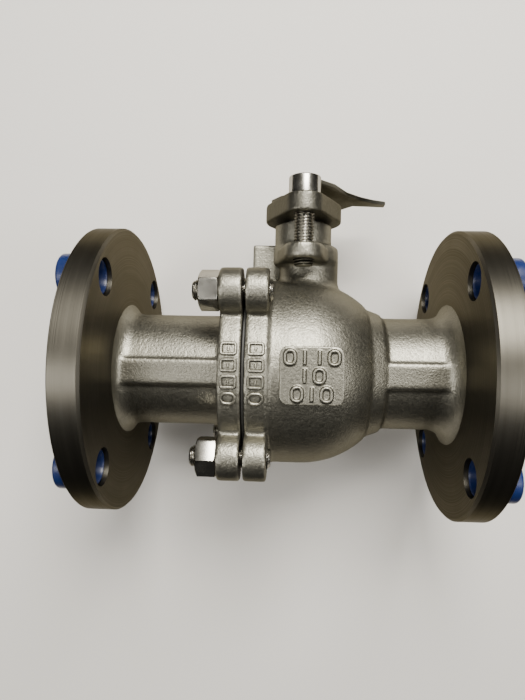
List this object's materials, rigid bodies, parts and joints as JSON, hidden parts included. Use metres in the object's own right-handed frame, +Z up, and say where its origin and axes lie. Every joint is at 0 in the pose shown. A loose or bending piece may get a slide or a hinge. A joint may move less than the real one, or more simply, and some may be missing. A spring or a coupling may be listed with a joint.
{
  "type": "flanged ball valve",
  "caption": "Two-piece floating ball valve with flanged ends, a quarter-turn stem with a stop plate, a bolted gland and push-in end covers.",
  "frame": {"origin": "centre of the ball, where the pipe axis crosses the stem axis", "axes": "+X along the pipe from the end cap to the body's own flange, +Y to the back, +Z up the stem"},
  "size_m": [0.2152, 0.149, 0.1785],
  "materials": {
    "cast_steel": "cast stainless steel, blasted and pickled, satin with a fine orange-peel grain",
    "machined_steel": "turned stainless steel with fine tool lines",
    "bright_steel": "bright drawn or polished stainless steel",
    "white_ptfe": "matt white sealing plastic",
    "blue_plastic": "moulded blue plastic with a soft gloss"
  },
  "bodies": {
    "valve_shell": {"body_casting": "cast_steel", "end_cap": "cast_steel", "seat_ring_inlet": "white_ptfe", "seat_ring_outlet": "white_ptfe", "body_gasket": "white_ptfe", "thrust_washer": "white_ptfe", "packing_ring_1": "white_ptfe", "packing_ring_2": "white_ptfe", "packing_ring_3": "white_ptfe", "gland_bush": "machined_steel", "gland_flange": "cast_steel", "gland_screw_front": "bright_steel", "gland_screw_back": "bright_steel", "joint_stud_1": "machined_steel", "joint_stud_2": "machined_steel", "joint_stud_3": "machined_steel", "joint_stud_4": "machined_steel", "joint_nut_1": "bright_steel", "joint_nut_2": "bright_steel", "joint_nut_3": "bright_steel", "joint_nut_4": "bright_steel"},
    "ball_core": {"ball": "bright_steel"},
    "stem_set": {"stem": "machined_steel", "stop_plate": "cast_steel"},
    "inlet_cap": {"inlet_cover": "blue_plastic"},
    "outlet_cap": {"outlet_cover": "blue_plastic"}
  },
  "joints": [
    {"name": "ball_turn", "type": "hinge", "parent": "valve_shell", "child": "ball_core", "pos_m": [0, 0, 0], "axis": [0, 0, 1], "range_deg": [-90, 0]},
    {"name": "stem_turn", "type": "hinge", "parent": "valve_shell", "child": "stem_set", "pos_m": [0, 0, 0], "axis": [0, 0, 1], "range_deg": [-90, 0]},
    {"name": "inlet_cover_pull", "type": "slide", "parent": "valve_shell", "child": "inlet_cap", "axis": [-1, 0, 0], "range_m": [0, 0.04]},
    {"name": "outlet_cover_pull", "type": "slide", "parent": "valve_shell", "child": "outlet_cap", "axis": [1, 0, 0], "range_m": [0, 0.04]}
  ],
  "couplings": [
    {"joint": "stem_turn", "follows": "ball_turn", "ratio": 1}
  ]
}
